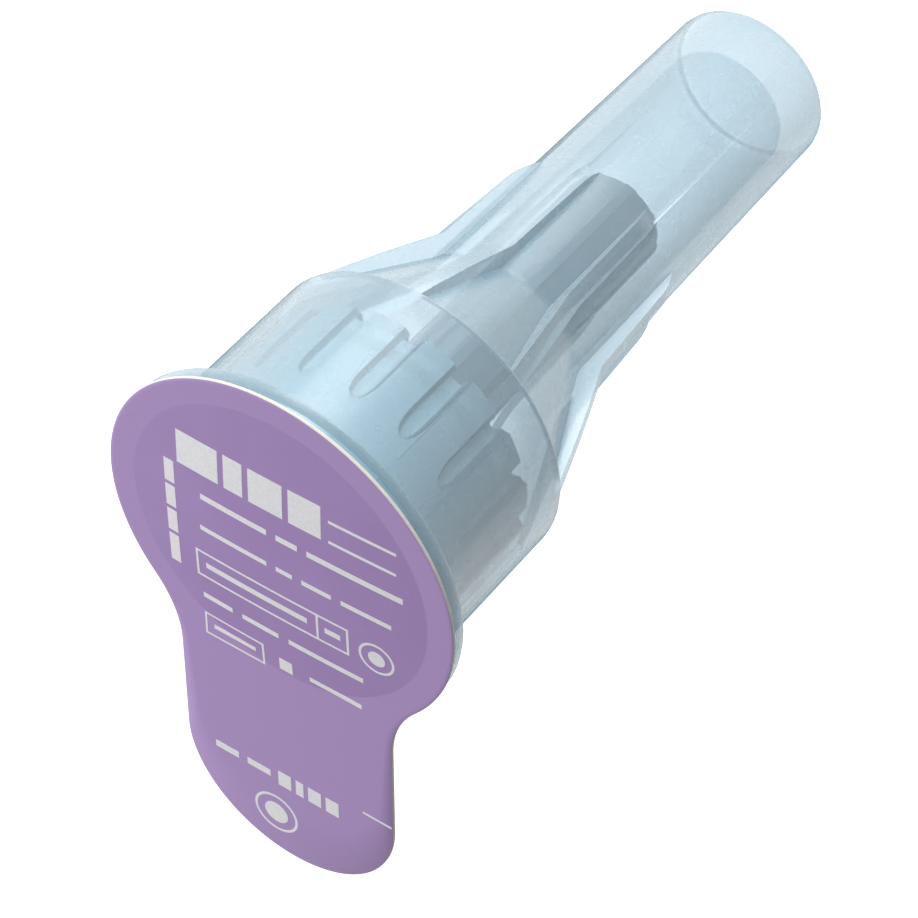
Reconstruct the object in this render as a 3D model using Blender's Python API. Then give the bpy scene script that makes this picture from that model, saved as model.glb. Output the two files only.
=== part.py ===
"""A pen needle sealed in its outer cap, standing on the cap's closed end.

All sizes are in millimetres. Heights run up from the flat closed end, along the needle's axis.
The pull tongue of the lid points to -Y.
"""
import math

import bmesh
import bpy
from mathutils import Matrix, Vector

MM = 0.001

# Outer cap: the outside
CAP_LENGTH = 33.8
FLANGE_RADIUS = 8.2
FLANGE_THICKNESS = 0.75
FLANGE_EDGE_ROUND = 0.2
BODY_RADIUS = 7.08
BODY_DRAFT_DEGREES = 0.25
BODY_LENGTH = 8.17
BODY_FOOT_FILLET = 0.3
SHOULDER_ROUND = 0.2
SHOULDER_TURN_DEGREES = 75.0
SHOULDER_LEDGE = 0.25
CONE_LENGTH = 5.41
TUBE_TOP_RADIUS = 4.1
TUBE_END_RADIUS = 3.8
END_ROUND = 0.6
BEND_ROUND = 1.2

# Outer cap: the inside
BODY_WALL = 0.5
CONE_WALL = 0.5
TUBE_WALL = 0.9
END_WALL = 2.0
BORE_END_ROUND = 0.35
INNER_SHOULDER_ROUND = 0.85
MOUTH_CHAMFER = 0.4

# Fins on the cone and the tube
FIN_COUNT = 8
FIN_PHASE_DEGREES = 0.4
FIN_THICKNESS = 0.7
FIN_HEIGHT_AT_BEND = 0.6
FIN_HEIGHT_AT_END = 0.4
FIN_CREST_BOW = 0.07
FIN_BEND_BELOW_CONE = 0.85
FIN_LENGTH_ON_TUBE = 5.6
FIN_END_TAPER = 1.5
FIN_ROOT = 0.3
FIN_TOP_ABOVE_CREASE = 0.25
FIN_HEIGHT_AT_SHOULDER = 0.36
FIN_SINK = 0.02

# Lid with its pull tongue
LID_OVERHANG = 0.1
LID_RADIUS = FLANGE_RADIUS + LID_OVERHANG
LID_THICKNESS = 0.16
SEAL_GAP = 0.05
SEAL_RING_WIDTH = 1.2
BULGE_HEIGHT = 0.2
BULGE_RING_SHARES = (0.55, 1.0)
TONGUE_REACH = 18.95
TONGUE_HALF_WIDTH = 5.27
TONGUE_CORNER_RADIUS = 5.25
TONGUE_NECK_RADIUS = 5.3
TONGUE_SPAN_DEGREES = 72.0
TONGUE_STEPS = 64
LID_STEPS = 48

# Needle hub
HUB_CLEARANCE = 0.25
HUB_BELOW_LID = 0.6
HUB_SKIRT_HEIGHT = 7.05
HUB_SKIRT_WALL = 0.7
HUB_FLOOR = 0.8
HUB_EDGE_ROUND = 0.2
LAND_COUNT = 16
LAND_PHASE_DEGREES = 13.6
LAND_RIM_WIDTH = 0.9
LAND_RIM_HEIGHT = 0.5
NOTCH_WIDTH = 0.55
NOTCH_HEIGHT = 0.35
LAND_STEP = 0.1
LAND_STEP_DEGREES = 4.8
GROOVE_WIDTH = 1.15
GROOVE_DEPTH = 0.38
GROOVE_LENGTH = 4.3
GROOVE_TIP = 1.4
SOCKET_RADIUS = 4.85
SOCKET_RING_WALL = 0.5
SOCKET_RING_RECESS = 0.7
SOCKET_WINDOW_WIDTH = 0.65
SOCKET_WINDOW_SILL = 0.25
SOCKET_WINDOW_LENGTH = 3.3
SNAP_BEAD = 0.15
SNAP_BEAD_DEPTH = 1.2
POST_RADIUS = 1.6
POST_HEIGHT = 3.2
POST_TIP_RADIUS = 0.85
POST_TIP_HEIGHT = 1.0
POST_CHAMFER = 0.25
GLUE_WELL_RADIUS = 0.55
GLUE_WELL_DEPTH = 0.7

# Cannula and glue
CANNULA_RADIUS = 0.115
LUMEN_RADIUS = 0.065
NEEDLE_EXPOSED = 4.0
CARTRIDGE_END_LENGTH = 5.4
BEVEL_LENGTH = 0.75
CANNULA_CLEARANCE = 0.04
GLUE_CLEARANCE = 0.05
GLUE_FOOT_WIDTH = 0.05
GLUE_DOME = 0.3

# Inner shield
SHIELD_LENGTH = 16.0
SHIELD_WALL = 0.55
SHIELD_FIT = 0.12
SHIELD_LEAD_IN = 0.1
SHIELD_DRAFT_DEGREES = 0.35
SHIELD_FOOT_RADIUS = 2.85
SHIELD_FOOT_HEIGHT = 0.7
SHIELD_SEAT_GAP = 0.15
SHIELD_END_WALL = 1.0
SHIELD_END_ROUND = 0.3
SHIELD_RIB_COUNT = 8
SHIELD_RIB_PHASE_DEGREES = 25.4
SHIELD_RIB_WIDTH = 0.45
SHIELD_RIB_FLANK = 0.12
SHIELD_RIB_HEIGHT = 0.08

# How far a cutter reaches past what it cuts
CUT_MARGIN = 0.3

# Roundness of the turned forms
CAP_SEGMENTS = 72
LAND_SEGMENTS = 4
SHIELD_GAP_SEGMENTS = 4
SMALL_SEGMENTS = 16
ARC_STEPS = 4
SMOOTH_ANGLE_DEGREES = 32.0

# Heights that follow from the sizes above
FLANGE_TOP = CAP_LENGTH
FLANGE_UNDERSIDE = FLANGE_TOP - FLANGE_THICKNESS
SHOULDER_HEIGHT = FLANGE_UNDERSIDE - BODY_LENGTH
CONE_FOOT_HEIGHT = SHOULDER_HEIGHT - CONE_LENGTH
BODY_SHOULDER_RADIUS = BODY_RADIUS - BODY_LENGTH * math.tan(math.radians(BODY_DRAFT_DEGREES))
SHOULDER_TURN = math.radians(SHOULDER_TURN_DEGREES)
SHOULDER_END_RADIUS = BODY_SHOULDER_RADIUS - SHOULDER_ROUND * (1.0 - math.cos(SHOULDER_TURN))
CONE_TOP_RADIUS = SHOULDER_END_RADIUS - SHOULDER_LEDGE
BODY_INNER_RADIUS = BODY_RADIUS - BODY_WALL
BODY_INNER_SHOULDER_RADIUS = BODY_SHOULDER_RADIUS - BODY_WALL
BORE_TOP_RADIUS = TUBE_TOP_RADIUS - TUBE_WALL
BORE_END_RADIUS = TUBE_END_RADIUS - TUBE_WALL

HUB_OPEN_END = FLANGE_TOP - HUB_BELOW_LID
HUB_RIM_HEIGHT = HUB_OPEN_END - HUB_SKIRT_HEIGHT
HUB_OUTER_RADIUS = BODY_INNER_SHOULDER_RADIUS - HUB_CLEARANCE
HUB_SKIRT_INNER_RADIUS = HUB_OUTER_RADIUS - HUB_SKIRT_WALL
HUB_FLOOR_OUTSIDE = HUB_RIM_HEIGHT + LAND_RIM_HEIGHT
HUB_FLOOR_INSIDE = HUB_FLOOR_OUTSIDE + HUB_FLOOR
POST_FOOT = HUB_FLOOR_OUTSIDE
POST_SHOULDER = POST_FOOT - POST_HEIGHT
POST_TOP = POST_SHOULDER - POST_TIP_HEIGHT

NEEDLE_TIP = POST_TOP - NEEDLE_EXPOSED
CARTRIDGE_TIP = HUB_FLOOR_INSIDE + CARTRIDGE_END_LENGTH

SHIELD_INNER_RADIUS = POST_RADIUS + SHIELD_FIT
SHIELD_OUTER_RADIUS = SHIELD_INNER_RADIUS + SHIELD_WALL
SHIELD_OPEN_END = HUB_FLOOR_OUTSIDE - SHIELD_SEAT_GAP
SHIELD_CLOSED_END = SHIELD_OPEN_END - SHIELD_LENGTH


def clear_scene():
    """Remove whatever the scene holds."""
    for thing in list(bpy.data.objects):
        bpy.data.objects.remove(thing, do_unlink=True)


def make_material(name, colour, roughness, metallic=0.0, transmission=0.0):
    """A Principled material with one plain colour."""
    material = bpy.data.materials.new(name)
    material.use_nodes = True
    shader = material.node_tree.nodes["Principled BSDF"]
    shader.inputs["Base Color"].default_value = (*colour, 1.0)
    shader.inputs["Roughness"].default_value = roughness
    shader.inputs["Metallic"].default_value = metallic
    shader.inputs["Transmission Weight"].default_value = transmission
    return material


def make_object(name, mesh_maker, material=None, origin=(0.0, 0.0, 0.0)):
    """Turn a bmesh in millimetres into an object in metres, with its origin where asked."""
    mesh = bpy.data.meshes.new(name)
    bmesh.ops.translate(mesh_maker, vec=-Vector(origin), verts=mesh_maker.verts)
    bmesh.ops.scale(mesh_maker, vec=(MM, MM, MM), verts=mesh_maker.verts)
    bmesh.ops.recalc_face_normals(mesh_maker, faces=mesh_maker.faces)
    mesh_maker.to_mesh(mesh)
    mesh_maker.free()
    mesh.shade_smooth()
    mesh.set_sharp_from_angle(angle=math.radians(SMOOTH_ANGLE_DEGREES))
    thing = bpy.data.objects.new(name, mesh)
    thing.location = Vector(origin) * MM
    bpy.context.scene.collection.objects.link(thing)
    if material is not None:
        mesh.materials.append(material)
    return thing


def make_helper(name, mesh_maker):
    """An object that only cuts or adds to another one."""
    helper = make_object(name, mesh_maker)
    helper.hide_render = True
    helper.display_type = "WIRE"
    return helper


def apply_boolean(target, helper, operation):
    """Cut the helper out of the target, or join it on, and shade the new edges."""
    modifier = target.modifiers.new(helper.name, "BOOLEAN")
    modifier.operation = operation
    modifier.solver = "EXACT"
    modifier.object = helper
    depsgraph = bpy.context.evaluated_depsgraph_get()
    mesh = bpy.data.meshes.new_from_object(target.evaluated_get(depsgraph))
    target.modifiers.clear()
    mesh.name = target.name
    target.data = mesh
    mesh.shade_smooth()
    mesh.set_sharp_from_angle(angle=math.radians(SMOOTH_ANGLE_DEGREES))
    bpy.data.objects.remove(helper, do_unlink=True)


def arc(centre_r, centre_z, radius, start_degrees, end_degrees, steps=ARC_STEPS):
    """Points on an arc in the half plane of a turned profile."""
    points = []
    for step in range(steps + 1):
        angle = math.radians(start_degrees + (end_degrees - start_degrees) * step / steps)
        points.append((centre_r + radius * math.cos(angle), centre_z + radius * math.sin(angle)))
    return points


def fillet(before, corner, after, radius, steps=ARC_STEPS):
    """Round the corner between two straight runs of a profile."""
    corner = Vector(corner)
    towards_before = (Vector(before) - corner)
    towards_after = (Vector(after) - corner)
    half_angle = towards_before.angle(towards_after) / 2.0
    setback = min(radius / math.tan(half_angle), towards_before.length * 0.49, towards_after.length * 0.49)
    radius = setback * math.tan(half_angle)
    start = corner + towards_before.normalized() * setback
    end = corner + towards_after.normalized() * setback
    bisector = (towards_before.normalized() + towards_after.normalized()).normalized()
    centre = corner + bisector * (radius / math.sin(half_angle))
    points = []
    sweep = math.pi - 2.0 * half_angle
    from_centre = start - centre
    turn = 1.0 if from_centre.x * (end - centre).y - from_centre.y * (end - centre).x > 0 else -1.0
    for step in range(steps + 1):
        angle = turn * sweep * step / steps
        cosine = math.cos(angle)
        sine = math.sin(angle)
        points.append((
            centre.x + from_centre.x * cosine - from_centre.y * sine,
            centre.y + from_centre.x * sine + from_centre.y * cosine,
        ))
    return points


def even_stations(count):
    """Angles spaced evenly round a turn, with nothing added to the radius."""
    return [(2.0 * math.pi * number / count, 0.0) for number in range(count)]


def turn_profile(maker, profile, stations, swelling=()):
    """Turn a closed profile of (radius, height) points round Z. Points on the axis become poles.

    Each station is an angle and what it adds to the radius of the profile points listed as swelling.
    """
    columns = []
    poles = {}
    for angle, swell in stations:
        column = []
        for index, (radius, height) in enumerate(profile):
            if radius < 1e-9:
                if index not in poles:
                    poles[index] = maker.verts.new((0.0, 0.0, height))
                column.append(poles[index])
                continue
            if index in swelling:
                radius = radius + swell
            column.append(maker.verts.new((radius * math.cos(angle), radius * math.sin(angle), height)))
        columns.append(column)
    count = len(profile)
    for number, here in enumerate(columns):
        there = columns[(number + 1) % len(columns)]
        for index in range(count):
            following = (index + 1) % count
            corners = []
            for vert in (here[index], here[following], there[following], there[index]):
                if vert not in corners:
                    corners.append(vert)
            if len(corners) > 2:
                maker.faces.new(corners)


def add_slab(maker, outline, thickness, angle):
    """A flat plate with an outline in (radius, height), standing on the axis plane at an angle."""
    across = Vector((-math.sin(angle), math.cos(angle), 0.0)) * (thickness / 2.0)
    along = Vector((math.cos(angle), math.sin(angle), 0.0))
    sides = []
    for offset in (-across, across):
        sides.append([maker.verts.new(along * radius + Vector((0.0, 0.0, height)) + offset)
                      for radius, height in outline])
    maker.faces.new(sides[0])
    maker.faces.new(list(reversed(sides[1])))
    count = len(outline)
    for index in range(count):
        following = (index + 1) % count
        maker.faces.new((sides[0][following], sides[0][index], sides[1][index], sides[1][following]))


def cap_outer_radius(height):
    """Radius of the cap's outside on the cone and the tube, without the fins."""
    if height >= CONE_FOOT_HEIGHT:
        share = (height - CONE_FOOT_HEIGHT) / CONE_LENGTH
        return TUBE_TOP_RADIUS + (CONE_TOP_RADIUS - TUBE_TOP_RADIUS) * share
    share = height / CONE_FOOT_HEIGHT
    return TUBE_END_RADIUS + (TUBE_TOP_RADIUS - TUBE_END_RADIUS) * share


def cone_lean():
    """Half angle of the cone, in radians."""
    return math.atan2(CONE_TOP_RADIUS - TUBE_TOP_RADIUS, CONE_LENGTH)


def cap_profile():
    """Half section of the outer cap, up the outside and back down the inside."""
    cone_offset = CONE_WALL / math.cos(cone_lean())
    slope = math.tan(cone_lean())
    # The inner cone is the outer one moved in by its wall, and it ends where it meets the body and the bore.
    inner_cone_top = CONE_FOOT_HEIGHT + (BODY_INNER_SHOULDER_RADIUS - TUBE_TOP_RADIUS + cone_offset) / slope
    inner_cone_foot = CONE_FOOT_HEIGHT + (BORE_TOP_RADIUS - TUBE_TOP_RADIUS + cone_offset) / slope
    end_corner = (TUBE_END_RADIUS, 0.0)
    cone_foot = (TUBE_TOP_RADIUS, CONE_FOOT_HEIGHT)
    cone_top = (CONE_TOP_RADIUS, SHOULDER_HEIGHT)
    body_foot = (BODY_RADIUS, FLANGE_UNDERSIDE)
    shoulder_top = (BODY_SHOULDER_RADIUS, SHOULDER_HEIGHT + SHOULDER_ROUND * math.sin(SHOULDER_TURN))
    outside = [(0.0, 0.0)]
    outside += fillet((0.0, 0.0), end_corner, cone_foot, END_ROUND)
    outside += fillet(end_corner, cone_foot, cone_top, BEND_ROUND, 2)
    # A narrow ledge runs round where the shoulder ends and the cone starts.
    outside += [cone_top]
    outside += arc(BODY_SHOULDER_RADIUS - SHOULDER_ROUND, shoulder_top[1], SHOULDER_ROUND,
                   -SHOULDER_TURN_DEGREES, 0.0)
    outside += fillet(shoulder_top, body_foot, (FLANGE_RADIUS, FLANGE_UNDERSIDE), BODY_FOOT_FILLET, 2)
    outside += fillet(body_foot, (FLANGE_RADIUS, FLANGE_UNDERSIDE), (FLANGE_RADIUS, FLANGE_TOP),
                      FLANGE_EDGE_ROUND, 2)
    outside += fillet((FLANGE_RADIUS, FLANGE_UNDERSIDE), (FLANGE_RADIUS, FLANGE_TOP),
                      (BODY_INNER_RADIUS, FLANGE_TOP), FLANGE_EDGE_ROUND, 2)
    inside = [
        (BODY_INNER_RADIUS + MOUTH_CHAMFER, FLANGE_TOP),
        (BODY_INNER_RADIUS, FLANGE_TOP - MOUTH_CHAMFER),
    ]
    inner_shoulder = (BODY_INNER_SHOULDER_RADIUS, inner_cone_top)
    bore_top = (BORE_TOP_RADIUS, inner_cone_foot)
    bore_end = (BORE_END_RADIUS, END_WALL)
    inside += fillet(inside[-1], inner_shoulder, bore_top, INNER_SHOULDER_ROUND, 4)
    inside += [bore_top]
    inside += fillet(bore_top, bore_end, (0.0, END_WALL), BORE_END_ROUND, 2)
    inside += [(0.0, END_WALL)]
    return outside + inside


def fin_outline():
    """Outline of one fin in (radius, height): down the cone, along the tube and tapering into it."""
    top = SHOULDER_HEIGHT + FIN_TOP_ABOVE_CREASE
    bend = CONE_FOOT_HEIGHT - FIN_BEND_BELOW_CONE
    taper_top = CONE_FOOT_HEIGHT - FIN_LENGTH_ON_TUBE
    foot = taper_top - FIN_END_TAPER
    steps = 4
    shoulder_radius = cap_outer_radius(SHOULDER_HEIGHT) + FIN_HEIGHT_AT_SHOULDER
    bend_radius = cap_outer_radius(bend) + FIN_HEIGHT_AT_BEND
    crest = []
    # Down the cone the crest bows out a little between its ends.
    for step in range(steps + 1):
        share = step / steps
        straight = shoulder_radius + (bend_radius - shoulder_radius) * share
        crest.append((straight + FIN_CREST_BOW * 4.0 * share * (1.0 - share), top + (bend - top) * share))
    crest.append((cap_outer_radius(taper_top) + FIN_HEIGHT_AT_END, taper_top))
    for step in range(1, steps + 1):
        share = step / steps
        height = taper_top - FIN_END_TAPER * share
        proud = FIN_HEIGHT_AT_END * (1.0 - share ** 2) - FIN_SINK * share
        crest.append((cap_outer_radius(height) + proud, height))
    root = [
        (cap_outer_radius(foot) - FIN_ROOT, foot),
        (cap_outer_radius(CONE_FOOT_HEIGHT) - FIN_ROOT, CONE_FOOT_HEIGHT),
        (cap_outer_radius(SHOULDER_HEIGHT) - FIN_ROOT, top),
    ]
    return crest + root


def build_outer_cap(material):
    """The clear cap with its fins."""
    maker = bmesh.new()
    turn_profile(maker, cap_profile(), even_stations(CAP_SEGMENTS))
    cap = make_object("outer_cap", maker, material)
    fins = bmesh.new()
    outline = fin_outline()
    for number in range(FIN_COUNT):
        angle = math.radians(FIN_PHASE_DEGREES + 360.0 * number / FIN_COUNT)
        add_slab(fins, outline, FIN_THICKNESS, angle)
    apply_boolean(cap, make_helper("cap_fins", fins), "UNION")
    return cap


def tongue_edge_radius(angle):
    """Distance from the lid's centre to the outline of lid and tongue, at an angle off the tongue's axis."""
    angle = abs(angle)
    sine = math.sin(angle)
    cosine = math.cos(angle)
    reach = LID_RADIUS
    if angle < math.radians(TONGUE_SPAN_DEGREES):
        reach = max(reach, tongue_reach_along(sine, cosine))
    return reach


def tongue_reach_along(sine, cosine):
    """Where a ray from the lid's centre leaves the tongue with its neck and its round end."""
    corner_across = TONGUE_HALF_WIDTH - TONGUE_CORNER_RADIUS
    corner_along = TONGUE_REACH - TONGUE_CORNER_RADIUS
    candidates = [LID_RADIUS]
    # The flat end between the two round corners.
    to_end = TONGUE_REACH / max(cosine, 1e-6)
    if to_end * sine <= corner_across:
        candidates.append(to_end)
    # The round corner.
    along = corner_along * cosine + corner_across * sine
    off = corner_along ** 2 + corner_across ** 2 - TONGUE_CORNER_RADIUS ** 2
    if along ** 2 >= off:
        reach = along + math.sqrt(along ** 2 - off)
        if reach * sine >= corner_across - 1e-9 and reach * cosine >= corner_along - 1e-9:
            candidates.append(reach)
    # The straight side and the neck that runs out of the lid's edge.
    neck_across = TONGUE_HALF_WIDTH + TONGUE_NECK_RADIUS
    neck_along = math.sqrt((LID_RADIUS + TONGUE_NECK_RADIUS) ** 2 - neck_across ** 2)
    if sine > 1e-6:
        to_side = TONGUE_HALF_WIDTH / sine
        if neck_along <= to_side * cosine <= corner_along:
            candidates.append(to_side)
    along = neck_along * cosine + neck_across * sine
    off = neck_along ** 2 + neck_across ** 2 - TONGUE_NECK_RADIUS ** 2
    if along ** 2 >= off:
        reach = along - math.sqrt(along ** 2 - off)
        touch_along = neck_along * LID_RADIUS / (LID_RADIUS + TONGUE_NECK_RADIUS)
        if touch_along <= reach * cosine <= neck_along and reach * sine <= neck_across:
            candidates.append(reach)
    return max(candidates)


def lid_outline_angles():
    """Angles off the tongue's axis, closer together along the tongue."""
    tongue_span = math.radians(TONGUE_SPAN_DEGREES)
    angles = [-tongue_span + 2.0 * tongue_span * step / TONGUE_STEPS for step in range(TONGUE_STEPS + 1)]
    rest_span = 2.0 * math.pi - 2.0 * tongue_span
    angles += [tongue_span + rest_span * step / LID_STEPS for step in range(1, LID_STEPS)]
    return angles


def build_peel_tab(material):
    """The laminate lid with its slightly bulging middle and its pull tongue, as one sheet."""
    underside = FLANGE_TOP + SEAL_GAP
    bulge_radius = LID_RADIUS - SEAL_RING_WIDTH
    bulge = [(bulge_radius * share, BULGE_HEIGHT * (1.0 - share ** 2)) for share in reversed(BULGE_RING_SHARES)]
    maker = bmesh.new()
    sheets = []
    for height in (underside, underside + LID_THICKNESS):
        loops = [[] for _ in range(1 + len(bulge))]
        for angle in lid_outline_angles():
            signed = math.atan2(math.sin(angle), math.cos(angle))
            direction = Vector((math.sin(angle), -math.cos(angle), 0.0))
            for loop, (radius, rise) in zip(loops, [(tongue_edge_radius(signed), 0.0)] + bulge):
                loop.append(maker.verts.new(direction * radius + Vector((0.0, 0.0, height + rise))))
        middle = maker.verts.new((0.0, 0.0, height + BULGE_HEIGHT))
        sheets.append((loops, middle))
    count = len(lid_outline_angles())
    for loops, middle in sheets:
        for index in range(count):
            following = (index + 1) % count
            for outer, inner in zip(loops, loops[1:]):
                maker.faces.new((outer[index], outer[following], inner[following], inner[index]))
            maker.faces.new((loops[-1][index], loops[-1][following], middle))
    lower = sheets[0][0][0]
    upper = sheets[1][0][0]
    for index in range(count):
        following = (index + 1) % count
        maker.faces.new((lower[index], lower[following], upper[following], upper[index]))
    return make_object("peel_tab", maker, material)


def hub_profile():
    """Half section of the hub: skirt, gap, socket ring, floor and post."""
    ring_outer = SOCKET_RADIUS + SOCKET_RING_WALL
    ring_end = HUB_OPEN_END - SOCKET_RING_RECESS
    bead_height = ring_end - SNAP_BEAD_DEPTH
    bore = CANNULA_RADIUS + CANNULA_CLEARANCE
    rim_inner = HUB_OUTER_RADIUS - LAND_RIM_WIDTH
    skirt = fillet((0.0, HUB_OPEN_END), (HUB_OUTER_RADIUS, HUB_OPEN_END), (HUB_OUTER_RADIUS, HUB_RIM_HEIGHT),
                   HUB_EDGE_ROUND, 2)
    skirt += [(HUB_OUTER_RADIUS, HUB_RIM_HEIGHT), (rim_inner, HUB_RIM_HEIGHT), (rim_inner, HUB_FLOOR_OUTSIDE)]
    post = [(POST_RADIUS, POST_FOOT)]
    post += [(POST_RADIUS, POST_SHOULDER + POST_CHAMFER), (POST_RADIUS - POST_CHAMFER, POST_SHOULDER)]
    post += [(POST_TIP_RADIUS, POST_SHOULDER), (POST_TIP_RADIUS, POST_TOP), (GLUE_WELL_RADIUS, POST_TOP)]
    post += [(bore, POST_TOP + GLUE_WELL_DEPTH)]
    socket = [
        (bore, HUB_FLOOR_INSIDE),
        (SOCKET_RADIUS, HUB_FLOOR_INSIDE),
        (SOCKET_RADIUS, bead_height - SNAP_BEAD),
        (SOCKET_RADIUS - SNAP_BEAD, bead_height),
        (SOCKET_RADIUS, bead_height + SNAP_BEAD),
        (SOCKET_RADIUS, ring_end),
        (ring_outer, ring_end),
        (ring_outer, HUB_FLOOR_INSIDE),
        (HUB_SKIRT_INNER_RADIUS, HUB_FLOOR_INSIDE),
        (HUB_SKIRT_INNER_RADIUS, HUB_OPEN_END),
    ]
    return skirt + post + socket


def land_stations():
    """Angles round the hub. Each land starts at a small step and falls away to the next one."""
    pitch = 2.0 * math.pi / LAND_COUNT
    step = math.radians(LAND_STEP_DEGREES)
    sliver = math.radians(0.25)
    stations = []
    for number in range(LAND_COUNT):
        crest = math.radians(LAND_PHASE_DEGREES) + number * pitch - step
        for part in range(LAND_SEGMENTS):
            share = part / LAND_SEGMENTS
            stations.append((crest - pitch + (pitch - sliver) * share, -LAND_STEP * (1.0 - share)))
        stations.append((crest - sliver, 0.0))
    return stations


def add_groove(maker, angle):
    """A long round-bottomed cutter, open past the rim and tapering to a rounded end on the skirt."""
    half = GROOVE_WIDTH / 2.0
    radius = (half ** 2 + GROOVE_DEPTH ** 2) / (2.0 * GROOVE_DEPTH)
    below = HUB_RIM_HEIGHT - CUT_MARGIN
    tip_start = HUB_RIM_HEIGHT + GROOVE_LENGTH - GROOVE_TIP
    stations = [(below, 1.0), (tip_start, 1.0)]
    tip_steps = 4
    for step in range(1, tip_steps):
        share = step / tip_steps
        stations.append((tip_start + GROOVE_TIP * share, math.sqrt(1.0 - share ** 2)))
    sides = 12
    rings = []
    frame = Matrix.Rotation(angle, 3, "Z")
    for height, scale in stations:
        ring = []
        for side in range(sides):
            turn = 2.0 * math.pi * (side + 0.5) / sides
            across = radius * math.sin(turn) * scale
            # The cutter shrinks towards the skirt's surface, so the floor of the groove rises at its end.
            out = HUB_OUTER_RADIUS + (radius - GROOVE_DEPTH + radius * math.cos(turn)) * scale
            ring.append(maker.verts.new(frame @ Vector((out, across, height))))
        rings.append(ring)
    tip = maker.verts.new(frame @ Vector((HUB_OUTER_RADIUS, 0.0, tip_start + GROOVE_TIP)))
    maker.faces.new(rings[0])
    for lower, upper in zip(rings, rings[1:]):
        for side in range(sides):
            following = (side + 1) % sides
            maker.faces.new((lower[side], upper[side], upper[following], lower[following]))
    for side in range(sides):
        maker.faces.new((rings[-1][side], tip, rings[-1][(side + 1) % sides]))


def add_window(maker, angle):
    """A radial cutter through the socket ring, square at the hub's floor and round at its far end."""
    half = SOCKET_WINDOW_WIDTH / 2.0
    inner = SOCKET_RADIUS - SNAP_BEAD - CUT_MARGIN
    outer = (SOCKET_RADIUS + SOCKET_RING_WALL + HUB_SKIRT_INNER_RADIUS) / 2.0
    foot = HUB_FLOOR_INSIDE + SOCKET_WINDOW_SILL
    top = HUB_FLOOR_INSIDE + SOCKET_WINDOW_LENGTH - half
    outline = [(-half, foot), (half, foot)] + arc(0.0, top, half, 0.0, 180.0, 6)
    frame = Matrix.Rotation(angle, 3, "Z")
    ends = []
    for radius in (inner, outer):
        ends.append([maker.verts.new(frame @ Vector((radius, across, height))) for across, height in outline])
    maker.faces.new(ends[0])
    maker.faces.new(list(reversed(ends[1])))
    for index in range(len(outline)):
        following = (index + 1) % len(outline)
        maker.faces.new((ends[0][following], ends[0][index], ends[1][index], ends[1][following]))


def add_box(maker, angle, inner, outer, width, bottom, top):
    """A radial box between two radii and two heights."""
    outline = [(inner, bottom), (outer, bottom), (outer, top), (inner, top)]
    add_slab(maker, outline, width, angle)


def build_needle_hub(material):
    """The hub with its stepped lands, grooves, rim notches and socket windows."""
    maker = bmesh.new()
    profile = hub_profile()
    skirt_points = [index for index, point in enumerate(profile) if point[0] > HUB_OUTER_RADIUS - 1e-6]
    turn_profile(maker, profile, land_stations(), skirt_points)
    hub = make_object("needle_hub", maker, material)
    grooves = bmesh.new()
    notches = bmesh.new()
    windows = bmesh.new()
    for number in range(LAND_COUNT):
        groove_angle = math.radians(LAND_PHASE_DEGREES + 360.0 * number / LAND_COUNT)
        land_angle = groove_angle + math.pi / LAND_COUNT
        add_groove(grooves, groove_angle)
        add_box(notches, groove_angle, HUB_OUTER_RADIUS - LAND_RIM_WIDTH - CUT_MARGIN,
                HUB_OUTER_RADIUS + CUT_MARGIN, NOTCH_WIDTH, HUB_RIM_HEIGHT - CUT_MARGIN,
                HUB_RIM_HEIGHT + NOTCH_HEIGHT)
        add_window(windows, land_angle)
    apply_boolean(hub, make_helper("hub_grooves", grooves), "DIFFERENCE")
    apply_boolean(hub, make_helper("hub_rim_notches", notches), "DIFFERENCE")
    apply_boolean(hub, make_helper("hub_windows", windows), "DIFFERENCE")
    return hub


def build_cannula(material):
    """The double-ended steel tube with a slanted grind on each end."""
    maker = bmesh.new()
    rings = []
    grind = BEVEL_LENGTH / (2.0 * CANNULA_RADIUS)
    for segment in range(SMALL_SEGMENTS):
        angle = 2.0 * math.pi * segment / SMALL_SEGMENTS
        column = []
        for radius, base, sign in (
            (CANNULA_RADIUS, NEEDLE_TIP, 1.0),
            (CANNULA_RADIUS, CARTRIDGE_TIP, -1.0),
            (LUMEN_RADIUS, CARTRIDGE_TIP, -1.0),
            (LUMEN_RADIUS, NEEDLE_TIP, 1.0),
        ):
            x = radius * math.cos(angle)
            y = radius * math.sin(angle)
            column.append(maker.verts.new((x, y, base + sign * grind * (x + CANNULA_RADIUS))))
        rings.append(column)
    for segment in range(SMALL_SEGMENTS):
        here = rings[segment]
        there = rings[(segment + 1) % SMALL_SEGMENTS]
        for index in range(4):
            following = (index + 1) % 4
            maker.faces.new((here[index], here[following], there[following], there[index]))
    return make_object("cannula", maker, material)


def build_adhesive_bead(material):
    """The glue that fills the well in the post's tip and domes round the cannula."""
    inner = CANNULA_RADIUS + CANNULA_CLEARANCE
    well_slope = (GLUE_WELL_RADIUS - inner) / GLUE_WELL_DEPTH
    side_gap = GLUE_CLEARANCE * math.hypot(1.0, well_slope)
    deep = POST_TOP + GLUE_WELL_DEPTH - GLUE_CLEARANCE - side_gap / well_slope - GLUE_FOOT_WIDTH
    mouth = GLUE_WELL_RADIUS - side_gap
    profile = [
        (inner, deep),
        (inner + GLUE_FOOT_WIDTH, deep),
        (mouth, POST_TOP),
        (mouth * 0.9, POST_TOP - GLUE_DOME * 0.45),
        (mouth * 0.62, POST_TOP - GLUE_DOME * 0.85),
        (inner, POST_TOP - GLUE_DOME),
    ]
    maker = bmesh.new()
    turn_profile(maker, profile, even_stations(SMALL_SEGMENTS))
    return make_object("adhesive_bead", maker, material)


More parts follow.
